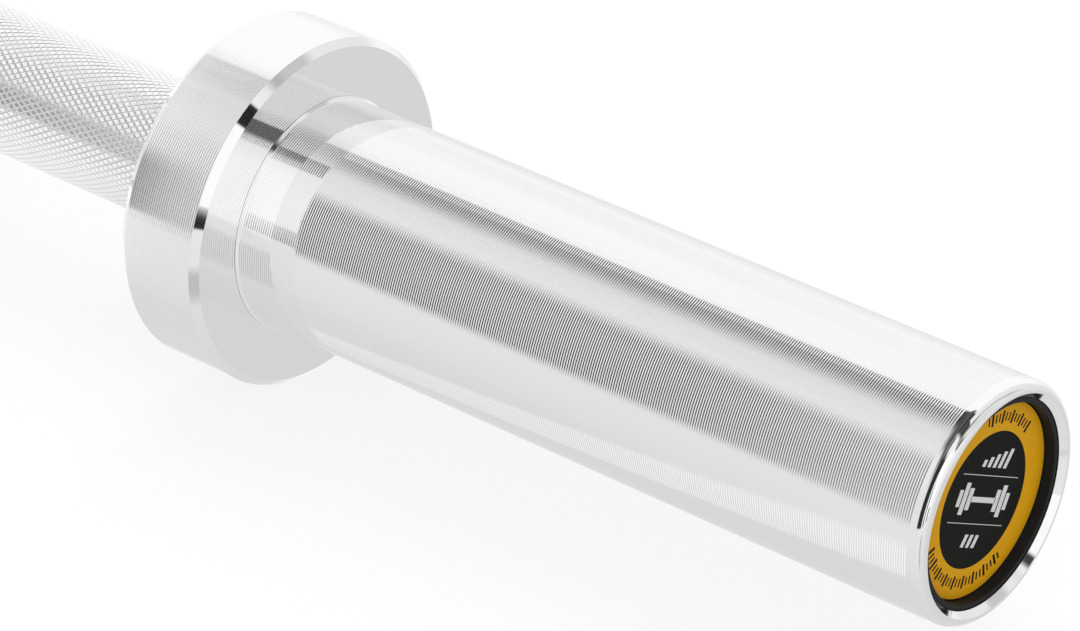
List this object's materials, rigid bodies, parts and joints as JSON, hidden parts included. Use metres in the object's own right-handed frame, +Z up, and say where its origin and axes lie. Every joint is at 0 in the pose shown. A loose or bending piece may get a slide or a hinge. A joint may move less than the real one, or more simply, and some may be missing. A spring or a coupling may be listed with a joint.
{
  "type": "olympic dumbbell bar",
  "caption": "Short loadable dumbbell bar: knurled grip between rotating chromed sleeves with stop collars, carried on needle bearings.",
  "frame": {"origin": "middle of the bar, on its axis", "axes": "+X along the bar towards the right sleeve's end, +Z up"},
  "size_m": [0.5, 0.0754, 0.0754],
  "materials": {
    "knurled_chrome": "bright chrome over a fine diamond knurl",
    "chrome_sleeve": "bright chrome over fine turned grooves",
    "chrome_collar": "bright chrome over fine turning lines, polished chamfers",
    "cap_plastic": "glossy black",
    "label": "printed satin film",
    "seal_rubber": "matt",
    "bronze": "turned",
    "bearing_steel": "ground",
    "cage_steel": "pressed",
    "spring_steel": "phosphated"
  },
  "bodies": {
    "shaft": {"shaft": "knurled_chrome", "inner_washer_left": "bronze", "inner_washer_right": "bronze", "outer_washer_left": "bronze", "outer_washer_right": "bronze", "retaining_ring_left": "spring_steel", "retaining_ring_right": "spring_steel"},
    "sleeve_left": {"sleeve_left": "chrome_sleeve", "collar_left": "chrome_collar", "end_cap_left": "cap_plastic", "end_label_left": "label", "grease_seal_left": "seal_rubber", "inner_cup_left": "bearing_steel", "outer_cup_left": "bearing_steel"},
    "sleeve_right": {"sleeve_right": "chrome_sleeve", "collar_right": "chrome_collar", "end_cap_right": "cap_plastic", "end_label_right": "label", "grease_seal_right": "seal_rubber", "inner_cup_right": "bearing_steel", "outer_cup_right": "bearing_steel"},
    "inner_cage_left": {"inner_cage_left": "cage_steel", "inner_needles_left": "bearing_steel"},
    "outer_cage_left": {"outer_cage_left": "cage_steel", "outer_needles_left": "bearing_steel"},
    "inner_cage_right": {"inner_cage_right": "cage_steel", "inner_needles_right": "bearing_steel"},
    "outer_cage_right": {"outer_cage_right": "cage_steel", "outer_needles_right": "bearing_steel"}
  },
  "joints": [
    {"name": "sleeve_spin_left", "type": "hinge", "parent": "shaft", "child": "sleeve_left", "pos_m": [-0.15, 0, 0], "axis": [1, 0, 0], "continuous": true},
    {"name": "sleeve_spin_right", "type": "hinge", "parent": "shaft", "child": "sleeve_right", "pos_m": [0.15, 0, 0], "axis": [1, 0, 0], "continuous": true},
    {"name": "inner_cage_spin_left", "type": "hinge", "parent": "shaft", "child": "inner_cage_left", "pos_m": [-0.079, 0, 0], "axis": [1, 0, 0], "continuous": true},
    {"name": "outer_cage_spin_left", "type": "hinge", "parent": "shaft", "child": "outer_cage_left", "pos_m": [-0.2252, 0, 0], "axis": [1, 0, 0], "continuous": true},
    {"name": "inner_cage_spin_right", "type": "hinge", "parent": "shaft", "child": "inner_cage_right", "pos_m": [0.079, 0, 0], "axis": [1, 0, 0], "continuous": true},
    {"name": "outer_cage_spin_right", "type": "hinge", "parent": "shaft", "child": "outer_cage_right", "pos_m": [0.2252, 0, 0], "axis": [1, 0, 0], "continuous": true}
  ],
  "couplings": [
    {"joint": "inner_cage_spin_left", "follows": "sleeve_spin_left", "ratio": 0.54546},
    {"joint": "outer_cage_spin_left", "follows": "sleeve_spin_left", "ratio": 0.54546},
    {"joint": "inner_cage_spin_right", "follows": "sleeve_spin_right", "ratio": 0.54546},
    {"joint": "outer_cage_spin_right", "follows": "sleeve_spin_right", "ratio": 0.54546}
  ]
}
